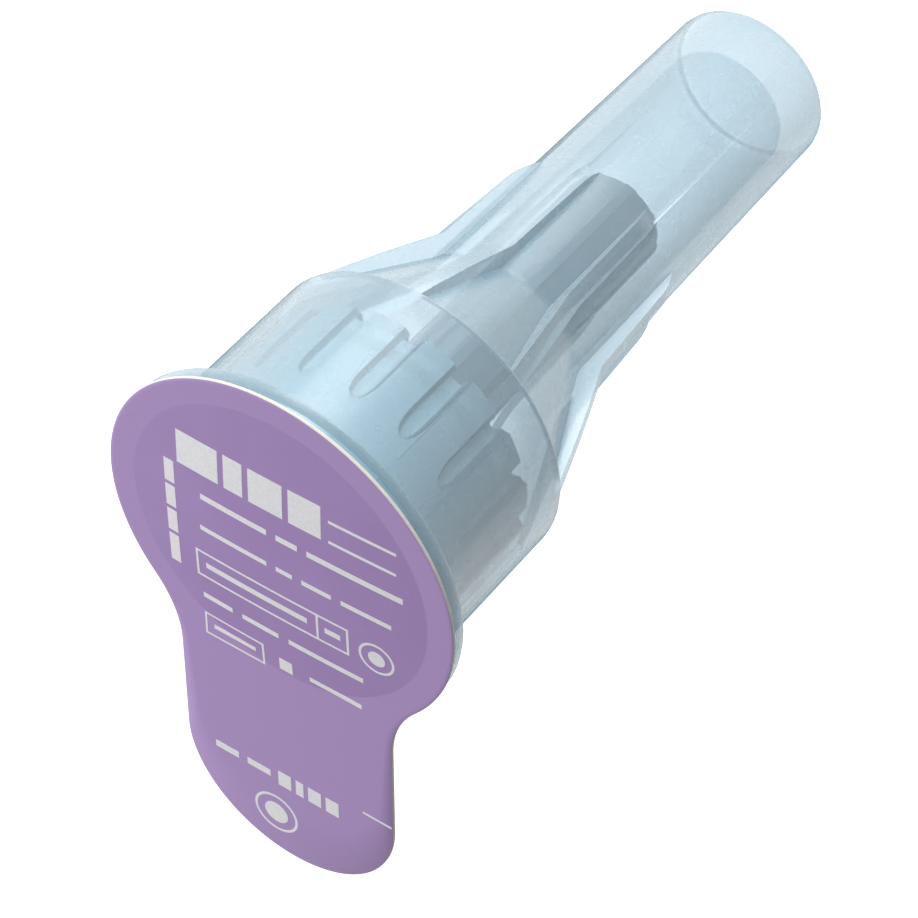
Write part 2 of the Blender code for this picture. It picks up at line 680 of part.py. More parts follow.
def shield_stations():
    """Angles round the shield: the foot, crest and foot of each rib, then the plain wall to the next."""
    pitch = 2.0 * math.pi / SHIELD_RIB_COUNT
    half_crest = SHIELD_RIB_WIDTH / 2.0 / SHIELD_OUTER_RADIUS
    half_foot = half_crest + SHIELD_RIB_FLANK / SHIELD_OUTER_RADIUS
    stations = []
    for number in range(SHIELD_RIB_COUNT):
        middle = math.radians(SHIELD_RIB_PHASE_DEGREES) + number * pitch
        stations.append((middle - half_foot, 0.0))
        stations.append((middle - half_crest, SHIELD_RIB_HEIGHT))
        stations.append((middle + half_crest, SHIELD_RIB_HEIGHT))
        for part in range(SHIELD_GAP_SEGMENTS):
            share = part / SHIELD_GAP_SEGMENTS
            stations.append((middle + half_foot + (pitch - 2.0 * half_foot) * share, 0.0))
    return stations


def build_inner_shield(material):
    """The closed tube over the needle, ribbed along its length, with a foot on the hub's floor."""
    draft = math.tan(math.radians(SHIELD_DRAFT_DEGREES))
    foot_top = SHIELD_OPEN_END - SHIELD_FOOT_HEIGHT
    shank_length = foot_top - SHIELD_CLOSED_END
    end_outer = SHIELD_OUTER_RADIUS - draft * shank_length
    cavity_end = SHIELD_CLOSED_END + SHIELD_END_WALL
    cavity_end_radius = SHIELD_INNER_RADIUS - draft * (SHIELD_OPEN_END - cavity_end)
    outer_corner = (end_outer, SHIELD_CLOSED_END)
    rib_top = (SHIELD_OUTER_RADIUS, foot_top)
    profile = [(0.0, SHIELD_CLOSED_END)]
    profile += fillet((0.0, SHIELD_CLOSED_END), outer_corner, rib_top, SHIELD_END_ROUND, 2)
    ribbed = set(range(2, len(profile) + 1))
    profile += [rib_top, (SHIELD_FOOT_RADIUS, foot_top), (SHIELD_FOOT_RADIUS, SHIELD_OPEN_END)]
    profile += [(SHIELD_INNER_RADIUS + SHIELD_LEAD_IN, SHIELD_OPEN_END)]
    profile += [(SHIELD_INNER_RADIUS, SHIELD_OPEN_END - SHIELD_LEAD_IN)]
    profile += [(cavity_end_radius, cavity_end), (0.0, cavity_end)]

    maker = bmesh.new()
    turn_profile(maker, profile, shield_stations(), ribbed)
    origin = (0.0, 0.0, SHIELD_OPEN_END)
    return make_object("inner_shield", maker, material, origin)


def main():
    clear_scene()
    clear_blue = make_material("clear_blue_plastic", (0.60, 0.74, 0.80), 0.22, 0.0, 0.6)
    milky_blue = make_material("milky_blue_plastic", (0.48, 0.62, 0.68), 0.3, 0.0, 0.3)
    purple = make_material("purple_laminate", (0.37, 0.27, 0.50), 0.5)
    steel = make_material("needle_steel", (0.70, 0.71, 0.73), 0.2, 1.0)
    glue = make_material("clear_glue", (0.82, 0.86, 0.88), 0.12, 0.0, 0.6)
    shield_blue = make_material("shield_plastic", (0.58, 0.72, 0.78), 0.3, 0.0, 0.3)
    build_outer_cap(clear_blue)
    build_peel_tab(purple)
    build_needle_hub(milky_blue)
    build_cannula(steel)
    build_adhesive_bead(glue)
    build_inner_shield(shield_blue)


main()
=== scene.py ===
"""Looks of the pen needle: clear and milky mouldings, printed laminate lid, steel cannula, studio and camera.

Names that end in _MM are in millimetres and those in _M in metres, in the part's own frame: +Z up from the
cap's closed end to the lid, and the lid's pull tongue towards -Y.
"""
import math

import bmesh
import bpy
from mathutils import Matrix, Vector


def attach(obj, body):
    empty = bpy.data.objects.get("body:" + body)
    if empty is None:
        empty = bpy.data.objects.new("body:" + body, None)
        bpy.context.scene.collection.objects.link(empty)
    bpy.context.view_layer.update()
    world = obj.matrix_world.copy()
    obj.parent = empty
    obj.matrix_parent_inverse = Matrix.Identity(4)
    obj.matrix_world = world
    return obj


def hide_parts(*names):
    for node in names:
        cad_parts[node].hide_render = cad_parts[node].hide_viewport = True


MM = 0.001
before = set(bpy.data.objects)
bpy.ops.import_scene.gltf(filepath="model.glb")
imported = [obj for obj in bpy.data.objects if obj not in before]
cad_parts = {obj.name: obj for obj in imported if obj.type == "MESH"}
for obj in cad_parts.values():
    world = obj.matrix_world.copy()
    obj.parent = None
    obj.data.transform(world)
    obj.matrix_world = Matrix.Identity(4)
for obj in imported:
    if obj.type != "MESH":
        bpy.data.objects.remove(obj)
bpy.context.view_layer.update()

# Bodies that the pieces ride on
CAP_BODY = "sealed_cap"
SHIELD_BODY = "shield"

# Camera, fitted to the photograph without a lens shift: its place, and the picture's right and down
FRAME_PX = 918.0
SENSOR_MM = 36.0
FOCAL_PX = 3925.8
CAMERA_MM = Vector((64.79622, 112.36441, 112.95441))
PHOTO_RIGHT = Vector((0.815078, -0.000865, -0.57935))
PHOTO_DOWN = Vector((0.419247, -0.689287, 0.59086))
CLIP_START_M = 0.005
CLIP_END_M = 20.0

# Floor, surround and lamps
FLOOR_HALF_M = 1.2
FLOOR_CELLS = 8
FLOOR_DROP_MM = 0.02
FLOOR_GLOW = 0.8
SURROUND_COLOUR = (0.98, 0.99, 1.0, 1.0)
SURROUND_STRENGTH = 0.17
LAMP_AIM_MM = 20.0
GLOW_LIFT_MM = 0.3

# Lid: a disc with a bulging middle, and a tongue that two round necks join to it
LID_RADIUS_MM = 8.3
LID_TOP_MM = 34.01
LID_THICKNESS_MM = 0.16
LID_CORNER_MM = 0.03
BULGE_RADIUS_MM = 7.1
BULGE_MM = 0.2
TONGUE_REACH_MM = 18.95
TONGUE_HALF_WIDTH_MM = 5.27
TONGUE_NECK_MM = 5.3

# The lid's mesh: columns of points run outwards, on round rings and then on rings that follow the outline.
# CORNER_MIDDLE is where the point midway round the cut edge lies, as a share of the edge's rounding.
TONGUE_SECTOR_DEGREES = 60.0
TONGUE_COLUMNS = 240
OTHER_COLUMNS = 160
BULGE_RINGS = (0.15, 0.3, 0.45, 0.6, 0.75, 0.9, 1.0)
LAST_ROUND_RING_MM = 7.7
OUTLINE_RINGS = (0.25, 0.5, 0.75, 1.0)
CORNER_MIDDLE = 0.3
RING_MATCH_MM = 0.001

# Ink on the lid: how far it reaches over and under the printed face, and the size of its mesh
INK_REACH_MM = 0.006
INK_CELL_MM = 0.3
INK_SEGMENTS = 48

# Meshes from the CAD: what counts as one point and as one face, and which edges stay sharp
WELD_MM = 0.0005
FLAT_DEGREES = 0.4
SHARP_DEGREES = 32.0
LID_SHARP_DEGREES = 50.0
EDGE_ROUND_SEGMENTS = 2

# Radius midway in the cap's wall, in the tube and in the body, with the ends of the cone between them
TUBE_MIDDLE_MM = 3.55
BODY_MIDDLE_MM = 6.6
CONE_FOOT_MM = 19.3
CONE_TOP_MM = 24.95
MIDDLE_BLUR_MM = 0.02

# How much the cap's inside covers, as a share of what its outside covers
INSIDE_SHARE = 0.25

# Share of a wall's cover that the lamps' light meets
SHADOW_COVER = 0.3

# The way through a round wall is SLANT_GAIN f (1 - f ** SLANT_POWER), with f 0 straight on and 1 at its edge
SLANT_GAIN = 1.9
SLANT_POWER = 4.0

# The painted line on the rounded edge between a wall and a side, a highlight on the cap and shield and a
# shade on the hub, fades in over the first span of off_wall and out over the second, which is given from its
# far end
LINE_IN = (0.14, 0.2)
LINE_OUT = (0.85, 0.6)

# Width of the change in colour from the lid's bulge to its sealed ring, which is painted lighter, each side
# of their border
SEAL_BLUR_MM = 0.04

WHITE = (1.0, 1.0, 1.0, 1.0)


def srgb(red, green, blue):
    """An sRGB colour of 0 to 255 as linear values."""
    values = []
    for value in (red, green, blue):
        value = value / 255.0
        values.append(value / 12.92 if value <= 0.04045 else ((value + 0.055) / 1.055) ** 2.4)
    return (*values, 1.0)


class Nodes:
    """Short calls to add nodes to a tree."""

    def __init__(self, tree):
        self.tree = tree

    def new(self, kind, **values):
        """A new node with some of its values set."""
        node = self.tree.nodes.new("ShaderNode" + kind)
        for name, value in values.items():
            setattr(node, name, value)
        return node

    def link(self, start, end):
        """Link a node's output to a socket."""
        self.tree.links.new(start, end)

    def feed(self, socket, value):
        """Link a node's output to a socket, or set the socket's own value."""
        if isinstance(value, bpy.types.NodeSocket):
            self.link(value, socket)
        else:
            socket.default_value = value

    def maths(self, operation, first, second=0.0):
        """One step of arithmetic."""
        node = self.new("Math", operation=operation)
        self.feed(node.inputs[0], first)
        self.feed(node.inputs[1], second)
        return node.outputs[0]

    def spread(self, value, low, high, start=0.3, end=0.7):
        """Map a value from start..end to low..high. Most noise lies between 0.3 and 0.7."""
        node = self.new("MapRange")
        for name, number in (("From Min", start), ("From Max", end), ("To Min", low), ("To Max", high)):
            node.inputs[name].default_value = number
        self.link(value, node.inputs["Value"])
        return node.outputs["Result"]

    def between(self, share, first, second):
        """A colour between two colours."""
        node = self.new("Mix", data_type="RGBA")
        self.link(share, node.inputs[0])
        self.feed(node.inputs[6], first)
        self.feed(node.inputs[7], second)
        return node.outputs[2]

    def mixed(self, share, first, second):
        """A shader between two shaders."""
        node = self.new("MixShader")
        self.link(share, node.inputs[0])
        self.link(first.outputs[0], node.inputs[1])
        self.link(second.outputs[0], node.inputs[2])
        return node.outputs[0]

    def seen_directly(self):
        """1 for rays from the camera, from mirrors and through clear plastic, and 0 for all others."""
        path = self.new("LightPath")
        seen = self.maths("MAXIMUM", path.outputs["Is Camera Ray"], path.outputs["Is Glossy Ray"])
        return self.maths("MAXIMUM", seen, path.outputs["Is Transmission Ray"])


class MaterialNodes(Nodes):
    """The nodes of a new material, with its shader, its output and the place on the surface."""

    def __init__(self, name):
        self.material = bpy.data.materials.new(name)
        self.material.use_nodes = True
        super().__init__(self.material.node_tree)
        self.shader = self.tree.nodes["Principled BSDF"]
        self.output = self.tree.nodes["Material Output"]
        self.place = self.new("TexCoord").outputs["Object"]

    def set(self, **values):
        """Set the shader's own values, such as IOR=1.45."""
        for name, value in values.items():
            self.shader.inputs[name.replace("_", " ")].default_value = value

    def noise(self, size_mm, detail=2.0, stretch=(1.0, 1.0, 1.0)):
        """Noise with features of about size_mm, as a value round 0.5."""
        mapping = self.new("Mapping")
        mapping.inputs["Scale"].default_value = stretch
        self.link(self.place, mapping.inputs["Vector"])
        texture = self.new("TexNoise")
        texture.inputs["Scale"].default_value = 1.0 / (size_mm * MM)
        texture.inputs["Detail"].default_value = detail
        self.link(mapping.outputs["Vector"], texture.inputs["Vector"])
        return texture.outputs["Fac"]

    def from_axis(self):
        """The place on the surface, measured from the part's axis."""
        flat = self.new("VectorMath", operation="MULTIPLY")
        flat.inputs[1].default_value = (1.0, 1.0, 0.0)
        self.link(self.place, flat.inputs[0])
        return flat.outputs["Vector"]

    def radius(self):
        """Distance from the part's axis, in metres."""
        length = self.new("VectorMath", operation="LENGTH")
        self.link(self.from_axis(), length.inputs[0])
        return length.outputs["Value"]

    def off_wall(self, start, end):
        """0 on walls turned round the axis, rising to 1 on rims, steps and the sides of grooves and fins."""
        outward = self.new("VectorMath", operation="NORMALIZE")
        self.link(self.from_axis(), outward.inputs[0])
        along = self.new("VectorMath", operation="DOT_PRODUCT")
        self.link(self.place.node.outputs["Normal"], along.inputs[0])
        self.link(outward.outputs["Vector"], along.inputs[1])
        turned = self.maths("SUBTRACT", 1.0, self.maths("ABSOLUTE", along.outputs["Value"]))
        return self.spread(turned, 0.0, 1.0, start, end)

    def bump(self, height, depth_mm, strength):
        """Small relief on the surface."""
        node = self.new("Bump")
        node.inputs["Strength"].default_value = strength
        node.inputs["Distance"].default_value = depth_mm * MM
        self.link(height, node.inputs["Height"])
        self.link(node.outputs["Normal"], self.shader.inputs["Normal"])


def outside_share(nodes):
    """1 on the cap's outside and a small share on its inside, told apart by the radius midway in its wall."""
    height = nodes.new("SeparateXYZ")
    nodes.link(nodes.place, height.inputs[0])
    middle = nodes.spread(height.outputs["Z"], TUBE_MIDDLE_MM * MM, BODY_MIDDLE_MM * MM,
                          start=CONE_FOOT_MM * MM, end=CONE_TOP_MM * MM)
    over = nodes.maths("SUBTRACT", nodes.radius(), middle)
    return nodes.spread(over, INSIDE_SHARE, 1.0, start=-MIDDLE_BLUR_MM * MM, end=MIDDLE_BLUR_MM * MM)


def slant(nodes):
    """How far a wall turns from the viewer, from 0 straight on to 1 at its edge, and the way through it."""
    layer = nodes.new("LayerWeight")
    layer.inputs["Blend"].default_value = 0.5
    facing = layer.outputs["Facing"]
    to_edge = nodes.maths("SUBTRACT", 1.0, nodes.maths("POWER", facing, SLANT_POWER))
    through = nodes.maths("MULTIPLY", nodes.maths("MULTIPLY", facing, to_edge), SLANT_GAIN)
    return facing, through


def see_through(name, pale, deep, cover, tint, edge_power, roughness, painted_side_shading, side_cover, side_span,
                painted_edge_shading, line_cover, part_share=None):
    """A thin translucent moulding. Its wall covers a little of what is behind it, and more where seen aslant.

    pale and deep are the wall's own colours, as the plastic flowed. cover gives the share that it covers
    straight on and aslant. tint gives the colour of what is seen through it, straight on and at its very
    edge, and a higher edge_power keeps the second closer to the edge. The side values are for rims, steps
    and the sides of grooves and fins: their colour, which is painted shade where it is darker than the wall
    and painted highlight where it is lighter, what they cover, and how far off the turned wall they start
    and are full. The line values are for the small rounded edges between walls and sides, painted as a line
    of shade or highlight in the same way. part_share, if given, is a function that gives 1 where the wall
    covers and tints in full, and less elsewhere.
    """
    nodes = MaterialNodes(name)
    nodes.set(IOR=1.49, Specular_IOR_Level=1.0, Coat_Weight=1.0, Coat_Roughness=roughness)
    flow = nodes.noise(size_mm=2.2, detail=3.0, stretch=(1.0, 1.0, 0.35))
    side = nodes.off_wall(*side_span)
    line = nodes.maths("MULTIPLY", nodes.off_wall(*LINE_IN), nodes.off_wall(*LINE_OUT))
    wall = nodes.between(nodes.spread(flow, 0.0, 1.0), pale, deep)
    # Painted light and shade: rims, groove and fin sides and their rounded edges take a colour of their own,
    # darker where it is painted shade and lighter where it is painted highlight.
    wall = nodes.between(side, wall, painted_side_shading)
    nodes.link(nodes.between(line, wall, painted_edge_shading), nodes.shader.inputs["Base Color"])
    nodes.link(nodes.spread(nodes.noise(size_mm=0.9), roughness * 0.85, roughness * 1.2),
               nodes.shader.inputs["Roughness"])
    nodes.bump(nodes.noise(size_mm=2.4, detail=1.0), depth_mm=0.003, strength=0.2)

    facing, through = slant(nodes)
    seen = nodes.between(nodes.maths("POWER", facing, edge_power), *tint)
    share = nodes.maths("MULTIPLY", nodes.spread(through, *cover, 0.0, 1.0), nodes.spread(flow, 0.94, 1.06))
    share = nodes.maths("MAXIMUM", share, nodes.spread(side, 0.0, side_cover, 0.0, 1.0))
    share = nodes.maths("MAXIMUM", share, nodes.spread(line, 0.0, line_cover, 0.0, 1.0))
    if part_share is not None:
        part = part_share(nodes)
        seen = nodes.between(part, srgb(252, 254, 255), seen)
        share = nodes.maths("MULTIPLY", share, part)
    # Light from the lamps goes on through the thin walls, as it does in a clear moulding.
    path = nodes.new("LightPath")
    lamp_share = nodes.spread(path.outputs["Is Shadow Ray"], 1.0, SHADOW_COVER, 0.0, 1.0)
    clear = nodes.new("BsdfTransparent")
    nodes.link(seen, clear.inputs["Color"])
    mix = nodes.mixed(nodes.maths("MULTIPLY", share, lamp_share), clear, nodes.shader)
    nodes.link(mix, nodes.output.inputs["Surface"])
    return nodes.material


def cap_material():
    """Clear pale-blue plastic, with painted highlight on its fin sides, steps and rounded edges."""
    return see_through(
        "clear_cap_plastic",
        pale=srgb(172, 198, 210),
        deep=srgb(162, 188, 200),
        cover=(0.16, 0.58),
        tint=(srgb(238, 246, 250), srgb(138, 164, 175)),
        edge_power=2.6,
        roughness=0.26,
        # Painted highlight: the sides of fins and steps and the rounded edges are painted paler than the
        # wall.
        painted_side_shading=srgb(218, 237, 246),
        side_cover=0.55,
        side_span=(0.5, 0.8),
        painted_edge_shading=srgb(230, 245, 252),
        line_cover=0.7,
        part_share=outside_share,
    )


def hub_material():
    """Milky pale-blue plastic of the hub, with painted shade on its rims, groove sides and rounded edges."""
    return see_through(
        "hub_plastic",
        pale=srgb(211, 235, 245),
        deep=srgb(203, 227, 237),
        cover=(0.66, 0.74),
        tint=(srgb(242, 250, 254), srgb(90, 120, 134)),
        edge_power=1.8,
        roughness=0.3,
        # Painted shade: rims, the sides of grooves and the rounded edges are painted dark, where shade falls.
        painted_side_shading=srgb(92, 118, 132),
        side_cover=0.92,
        side_span=(0.26, 0.5),
        painted_edge_shading=srgb(84, 110, 124),
        line_cover=0.92,
    )


def shield_material():
    """Milky pale-blue plastic of the shield, painted darker than the hub as shade inside the cap, with
    painted shade on its sides and painted highlight on its rounded edges.
    """
    return see_through(
        "shield_plastic",
        # Painted shade: the wall is painted a grey far darker than the hub's, standing in for the shade
        # inside the cap.
        pale=srgb(128, 144, 151),
        deep=srgb(119, 135, 142),
        cover=(0.8, 0.86),
        tint=(srgb(226, 237, 242), srgb(50, 72, 82)),
        edge_power=1.4,
        roughness=0.2,
        # Painted shade on the sides of its ribs and end, and painted highlight on its rounded edges.
        painted_side_shading=srgb(64, 80, 88),
        side_cover=0.92,
        side_span=(0.1, 0.6),
        painted_edge_shading=srgb(150, 172, 182),
        line_cover=0.9,
    )


def glue_material():
    """Cured clear glue."""
    return see_through(
        "glue",
        pale=srgb(222, 230, 234),
        deep=srgb(206, 218, 224),
        cover=(0.35, 0.7),
        tint=(srgb(250, 252, 253), srgb(200, 210, 214)),
        edge_power=4.0,
        roughness=0.1,
        painted_side_shading=srgb(206, 218, 224),
        side_cover=0.5,
        side_span=(0.1, 0.6),
        painted_edge_shading=srgb(222, 230, 234),
        line_cover=0.5,
    )


def steel_material():
    """Bright drawn steel, with fine lines along the tube."""
    nodes = MaterialNodes("needle_steel")
    nodes.set(Metallic=1.0)
    draw = nodes.noise(size_mm=0.03, stretch=(1.0, 1.0, 0.02))
    steel = nodes.between(nodes.spread(draw, 0.0, 1.0), srgb(214, 217, 220), srgb(186, 190, 194))
    nodes.link(steel, nodes.shader.inputs["Base Color"])
    nodes.link(nodes.spread(draw, 0.2, 0.34), nodes.shader.inputs["Roughness"])
    nodes.bump(draw, depth_mm=0.001, strength=0.3)
    return nodes.material


def lid_material():
    """Satin printed purple on top, white paper on the cut edge and underneath."""
    nodes = MaterialNodes("lid_laminate")
    nodes.set(Specular_IOR_Level=0.2, IOR=1.45)
    drift = nodes.noise(size_mm=5.0)
    grain = nodes.noise(size_mm=0.12, detail=3.0)
    purple = nodes.between(nodes.spread(drift, 0.0, 1.0), srgb(178, 148, 205), srgb(171, 141, 198))
    # Painted light: the sheet is painted a little lighter where it is sealed flat, and on the tongue, than on
    # its bulging middle, for the light the flat parts catch.
    flat_ring_painted_light = nodes.spread(nodes.radius(), 0.0, 1.0, start=(BULGE_RADIUS_MM - SEAL_BLUR_MM) * MM,
                          end=(BULGE_RADIUS_MM + SEAL_BLUR_MM) * MM)
    purple = nodes.between(flat_ring_painted_light, purple, srgb(185, 156, 211))
    purple = nodes.between(nodes.spread(grain, 0.0, 0.12, start=0.35, end=0.75), purple, srgb(188, 168, 208))
    paper = nodes.between(nodes.spread(grain, 0.0, 1.0), srgb(250, 247, 236), srgb(236, 232, 218))
    # The print stops where the sheet turns over its cut edge.
    geometry = nodes.new("NewGeometry")
    normal = nodes.new("SeparateXYZ")
    nodes.link(geometry.outputs["True Normal"], normal.inputs[0])
    top = nodes.spread(normal.outputs["Z"], 0.0, 1.0, start=0.55, end=0.8)
    nodes.link(nodes.between(top, paper, purple), nodes.shader.inputs["Base Color"])
    nodes.link(nodes.spread(top, 0.75, 0.5, start=0.0, end=1.0), nodes.shader.inputs["Roughness"])
    nodes.bump(grain, depth_mm=0.006, strength=0.5)
    return nodes.material


def ink_material():
    """White ink, slightly mottled, with the purple just showing through."""
    nodes = MaterialNodes("white_ink")
    nodes.set(Specular_IOR_Level=0.2)
    mottle = nodes.noise(size_mm=0.15, detail=3.0)
    white = nodes.between(nodes.spread(mottle, 0.0, 1.0, start=0.4, end=0.75),
                          srgb(252, 252, 254), srgb(242, 241, 246))
    nodes.link(white, nodes.shader.inputs["Base Color"])
    nodes.link(nodes.spread(mottle, 0.42, 0.52), nodes.shader.inputs["Roughness"])
    nodes.bump(mottle, depth_mm=0.004, strength=0.4)
    return nodes.material


def add_object(name, data):
    """A new object in the scene."""
    item = bpy.data.objects.new(name, data)
    bpy.context.scene.collection.objects.link(item)
    return item


def finish_mesh(maker, name, material, body, sharp_degrees=SHARP_DEGREES):
    """Turn a bmesh in metres into a smooth-shaded piece with sharp edges, on a body."""
    maker.normal_update()
    for face in maker.faces:
        face.smooth = True
    for edge in maker.edges:
        flat = edge.is_manifold and edge.calc_face_angle(math.pi) < math.radians(sharp_degrees)
        edge.smooth = flat and not edge.seam
    mesh = bpy.data.meshes.new(name)
    maker.to_mesh(mesh)
    maker.free()
    # Normals that come with a CAD mesh would override the smooth shading.
    if "custom_normal" in mesh.attributes:
        mesh.attributes.remove(mesh.attributes["custom_normal"])
    mesh.materials.append(material)
    piece = add_object(name, mesh)
    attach(piece, body)
    return piece


def dress(node, name, material, body, edge_round_mm=None):
    """A copy of a CAD node with its facets joined, its edges slightly rounded and smooth shading."""
    maker = bmesh.new()
    maker.from_mesh(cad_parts[node].data)
    bmesh.ops.remove_doubles(maker, verts=maker.verts, dist=WELD_MM * MM)
    bmesh.ops.dissolve_limit(maker, angle_limit=math.radians(FLAT_DEGREES), verts=maker.verts,
                             edges=maker.edges)
    piece = finish_mesh(maker, name, material, body)
    if edge_round_mm is not None:
        bevel = piece.modifiers.new("edge_round", "BEVEL")
        bevel.width = edge_round_mm * MM
        bevel.segments = EDGE_ROUND_SEGMENTS
        bevel.limit_method = "ANGLE"
        bevel.angle_limit = math.radians(SHARP_DEGREES)
        bevel.use_clamp_overlap = True
        bevel.harden_normals = True
    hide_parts(node)


def lid_surface(x_mm, y_mm):
    """Height of the lid's printed face: flat ring and tongue, and a middle that bulges very slightly."""
    radius = math.hypot(x_mm, y_mm)
    return LID_TOP_MM + BULGE_MM * max(0.0, 1.0 - (radius / BULGE_RADIUS_MM) ** 2)


def lid_vertex(maker, x_mm, y_mm, lift_mm):
    """A new vertex at a height over the lid's printed face."""
    return maker.verts.new(Vector((x_mm, y_mm, lid_surface(x_mm, y_mm) + lift_mm)) * MM)


def lid_edge(angle):
    """Distance from the lid's centre to its outline, at an angle off the tongue's axis."""
    sine = abs(math.sin(angle))
    cosine = math.cos(angle)
    end_centre = TONGUE_REACH_MM - TONGUE_HALF_WIDTH_MM
    neck_across = TONGUE_HALF_WIDTH_MM + TONGUE_NECK_MM
    reach = LID_RADIUS_MM + TONGUE_NECK_MM
    neck_along = math.sqrt(reach ** 2 - neck_across ** 2)
    touch_angle = math.atan2(neck_across, neck_along)
    if cosine <= math.cos(touch_angle):
        return LID_RADIUS_MM
    side_start = math.atan2(TONGUE_HALF_WIDTH_MM, neck_along)
    side_end = math.atan2(TONGUE_HALF_WIDTH_MM, end_centre)
    turn = math.acos(max(-1.0, min(1.0, cosine)))
    if turn > side_start:
        along = neck_along * cosine + neck_across * sine
        return along - math.sqrt(max(0.0, along ** 2 - reach ** 2 + TONGUE_NECK_MM ** 2))
    if turn > side_end:
        return TONGUE_HALF_WIDTH_MM / sine
    along = end_centre * cosine
    return along + math.sqrt(along ** 2 - end_centre ** 2 + TONGUE_HALF_WIDTH_MM ** 2)


def lid_columns():
    """Angles off the tongue's axis, closer together along the tongue."""
    tongue = math.radians(TONGUE_SECTOR_DEGREES)
    rest = 2.0 * math.pi - 2.0 * tongue
    angles = [-tongue + 2.0 * tongue * step / TONGUE_COLUMNS for step in range(TONGUE_COLUMNS + 1)]
    return angles + [tongue + rest * step / OTHER_COLUMNS for step in range(1, OTHER_COLUMNS)]


def lid_stops(angle):
    """Radii of a column's points, and how far each lies below the printed face on the rounded cut edge."""
    edge = lid_edge(angle)
    room = edge - LID_CORNER_MM - LAST_ROUND_RING_MM
    stops = [(BULGE_RADIUS_MM * share, 0.0) for share in BULGE_RINGS]
    stops.append((LAST_ROUND_RING_MM, 0.0))
    stops += [(LAST_ROUND_RING_MM + room * share, 0.0) for share in OUTLINE_RINGS]
    stops.append((edge - LID_CORNER_MM * CORNER_MIDDLE, LID_CORNER_MM * CORNER_MIDDLE))
    stops.append((edge, LID_CORNER_MM))
    return stops


def build_lid(material):
    """The laminate sheet, with a rounded cut edge and a slightly bulging middle."""
    maker = bmesh.new()
    middle_top = lid_vertex(maker, 0.0, 0.0, 0.0)
    middle_low = lid_vertex(maker, 0.0, 0.0, -LID_THICKNESS_MM)
    columns = []
    for angle in lid_columns():
        upper = []
        lower = []
        for radius, drop in lid_stops(angle):
            x = radius * math.sin(angle)
            y = -radius * math.cos(angle)
            upper.append(lid_vertex(maker, x, y, -drop))
            lower.append(lid_vertex(maker, x, y, drop - LID_THICKNESS_MM))
        columns.append((upper, lower))
    for column, (here, below) in enumerate(columns):
        there, beyond = columns[(column + 1) % len(columns)]
        maker.faces.new((middle_top, here[0], there[0]))
        maker.faces.new((middle_low, beyond[0], below[0]))
        for index in range(len(here) - 1):
            maker.faces.new((here[index], here[index + 1], there[index + 1], there[index]))
            maker.faces.new((beyond[index], beyond[index + 1], below[index + 1], below[index]))
        maker.faces.new((here[-1], below[-1], beyond[-1], there[-1]))
    # The crease round the bulge stays sharp, which finish_mesh does for a seam.
    for edge in maker.edges:
        radii = [math.hypot(vert.co.x, vert.co.y) / MM for vert in edge.verts]
        edge.seam = all(abs(radius - BULGE_RADIUS_MM) < RING_MATCH_MM for radius in radii)
    piece = finish_mesh(maker, "laminate_lid", material, CAP_BODY, LID_SHARP_DEGREES)
    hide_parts("peel_tab")


def join_loops(maker, first, second):
    """A closed band of faces between two loops of vertices."""
    for index in range(len(first)):
        following = (index + 1) % len(first)
        maker.faces.new((first[index], second[index], second[following], first[following]))


def bar(maker, left, right, bottom, top):
    """A thin closed rectangle of ink, in cells that follow the lid's surface."""
    across = math.ceil((right - left) / INK_CELL_MM)
    along = math.ceil((top - bottom) / INK_CELL_MM)
    tops = []
    lows = []
    for row in range(along + 1):
        y = bottom + (top - bottom) * row / along
        for column in range(across + 1):
            x = left + (right - left) * column / across
            tops.append(lid_vertex(maker, x, y, INK_REACH_MM))
            lows.append(lid_vertex(maker, x, y, -INK_REACH_MM))
    width = across + 1
    for row in range(along):
        for column in range(across):
            first = row * width + column
            square = (first, first + 1, first + 1 + width, first + width)
            maker.faces.new([tops[index] for index in square])
            maker.faces.new([lows[index] for index in reversed(square)])
    border = list(range(across))
    border += [row * width + across for row in range(along)]
    border += [along * width + column for column in range(across, 0, -1)]
    border += [row * width for row in range(along, 0, -1)]
    join_loops(maker, [tops[index] for index in border], [lows[index] for index in border])


def ink_circle(maker, centre, radius, lift_mm):
    """A circle of vertices at a height over the lid's printed face."""
    loop = []
    for segment in range(INK_SEGMENTS):
        angle = 2.0 * math.pi * segment / INK_SEGMENTS
        x = centre[0] + radius * math.cos(angle)
        y = centre[1] + radius * math.sin(angle)
        loop.append(lid_vertex(maker, x, y, lift_mm))
    return loop


def ink_ring(maker, centre, radius, width):
    """A thin closed ring of ink, with its radius to the middle of its line."""
    inner = radius - width / 2.0
    outer = radius + width / 2.0
    lift = INK_REACH_MM
    corners = ((inner, lift), (outer, lift), (outer, -lift), (inner, -lift))
    loops = [ink_circle(maker, centre, *corner) for corner in corners]
    for index, loop in enumerate(loops):
        join_loops(maker, loop, loops[(index + 1) % len(loops)])


def ink_dot(maker, centre, radius):
    """A thin closed disc of ink."""
    upper = ink_circle(maker, centre, radius, INK_REACH_MM)
    lower = ink_circle(maker, centre, radius, -INK_REACH_MM)
    middle_top = lid_vertex(maker, *centre, INK_REACH_MM)
    middle_low = lid_vertex(maker, *centre, -INK_REACH_MM)
    for index in range(INK_SEGMENTS):
        following = (index + 1) % INK_SEGMENTS
        maker.faces.new((middle_top, upper[index], upper[following]))
        maker.faces.new((middle_low, lower[following], lower[index]))
    join_loops(maker, upper, lower)


def row_of_bars(maker, left, right, bottom, top, shares, gap):
    """Bars side by side with the given shares of the row's width."""
    room = right - left - gap * (len(shares) - 1)
    start = left
    for share in shares:
        width = room * share / sum(shares)
        bar(maker, start, start + width, bottom, top)
        start += width + gap


